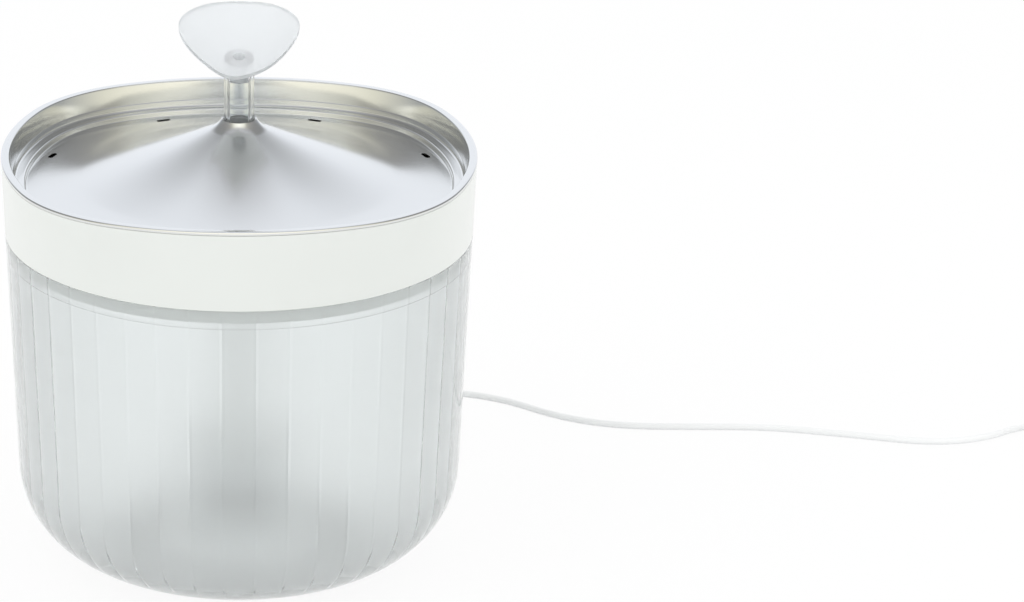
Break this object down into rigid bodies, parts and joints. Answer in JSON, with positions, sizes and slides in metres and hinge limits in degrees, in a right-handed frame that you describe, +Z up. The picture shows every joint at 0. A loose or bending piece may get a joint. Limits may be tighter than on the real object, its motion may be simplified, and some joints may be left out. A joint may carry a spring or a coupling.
{
  "type": "pet water fountain",
  "caption": "Clear fluted water bowl with a white collar, a squared steel drinking tray with a flared cone, a clear leaf spout, a filter deck, a pump and a thin white power cord.",
  "frame": {"origin": "on the floor under the bowl's axis, at the bottom of the foot ring", "axes": "+Z up along the bowl's axis, -Y to the front, the cord leaves at +Y"},
  "size_m": [0.5038, 0.2538, 0.225],
  "materials": {
    "clear_bowl": "clear moulded plastic with fine flutes inside",
    "white_abs": "moulded gloss white",
    "deck_plastic": "moulded, satin",
    "stainless_steel": "drawn and polished",
    "silicone": "soft moulded silicone",
    "clear_acrylic": "clear, polished",
    "natural_plastic": "translucent extruded tube",
    "filter_plastic": "moulded, satin",
    "carbon": "activated carbon granules in a bag",
    "foam": "open cell filter foam",
    "intake_sponge": "coarse black sponge",
    "pump_plastic": "moulded, satin",
    "slider_plastic": "moulded",
    "impeller_plastic": "moulded",
    "ferrite": "sintered magnet",
    "shaft_steel": "ground",
    "laminations": "stamped laminations",
    "copper_wire": "enamelled winding wire",
    "circuit_board": "glass fibre board",
    "white_pvc": "soft moulded and extruded white cable sheath",
    "tie_strap": "soft strap",
    "plug_steel": "folded plated sheet",
    "plug_insulator": "moulded"
  },
  "bodies": {
    "root": {"bowl": "clear_bowl", "foot_ring": "silicone", "riser_tube": "natural_plastic", "pump_body": "pump_plastic", "volute_cover": "pump_plastic", "cover_seal": "silicone", "impeller_shaft": "shaft_steel", "shaft_bushes": "impeller_plastic", "stator_core": "laminations", "stator_coils": "copper_wire", "driver_board": "circuit_board", "back_cover": "pump_plastic", "suction_cups": "silicone", "pump_lead": "white_pvc", "cable_grommet": "white_pvc", "power_cord": "white_pvc", "cord_coil": "white_pvc", "cord_tie": "tie_strap", "cord_tail": "white_pvc", "usb_plug_body": "white_pvc", "usb_plug_shell": "plug_steel", "usb_plug_tongue": "plug_insulator"},
    "lid": {"collar": "white_abs", "filter_deck": "deck_plastic"},
    "filter": {"filter_frame": "filter_plastic", "carbon_pack": "carbon", "filter_foam": "foam", "filter_lid": "filter_plastic"},
    "tray": {"drinking_tray": "stainless_steel", "tray_bush": "silicone"},
    "stem": {"spout_stem": "clear_acrylic"},
    "leaf": {"leaf_spout": "clear_acrylic"},
    "impeller": {"impeller": "impeller_plastic", "rotor_magnet": "ferrite"},
    "intake": {"intake_cap": "pump_plastic", "intake_foam": "intake_sponge"},
    "flow": {"flow_slider": "slider_plastic"}
  },
  "joints": [
    {"name": "collar_lift", "type": "slide", "parent": "root", "child": "lid", "axis": [0, 0, 1], "range_m": [0, 0.06]},
    {"name": "tray_lift", "type": "slide", "parent": "lid", "child": "tray", "axis": [0, 0, 1], "range_m": [0, 0.04]},
    {"name": "filter_lift", "type": "slide", "parent": "lid", "child": "filter", "axis": [0, 0, 1], "range_m": [0, 0.02]},
    {"name": "stem_pull", "type": "slide", "parent": "tray", "child": "stem", "axis": [0, 0, 1], "range_m": [0, 0.025]},
    {"name": "leaf_turn", "type": "hinge", "parent": "stem", "child": "leaf", "pos_m": [0, 0, 0.2049], "axis": [0, 0, 1], "continuous": true},
    {"name": "impeller_spin", "type": "hinge", "parent": "root", "child": "impeller", "pos_m": [0, 0, 0.026], "axis": [0, 1, 0], "continuous": true},
    {"name": "cap_pull", "type": "slide", "parent": "root", "child": "intake", "axis": [0, -1, 0], "range_m": [0, 0.012]},
    {"name": "flow_slide", "type": "slide", "parent": "intake", "child": "flow", "axis": [0, 0, 1], "range_m": [0, 0.006]}
  ],
  "couplings": [
    {"joint": "filter_lift", "follows": "tray_lift", "ratio": 0.5}
  ]
}
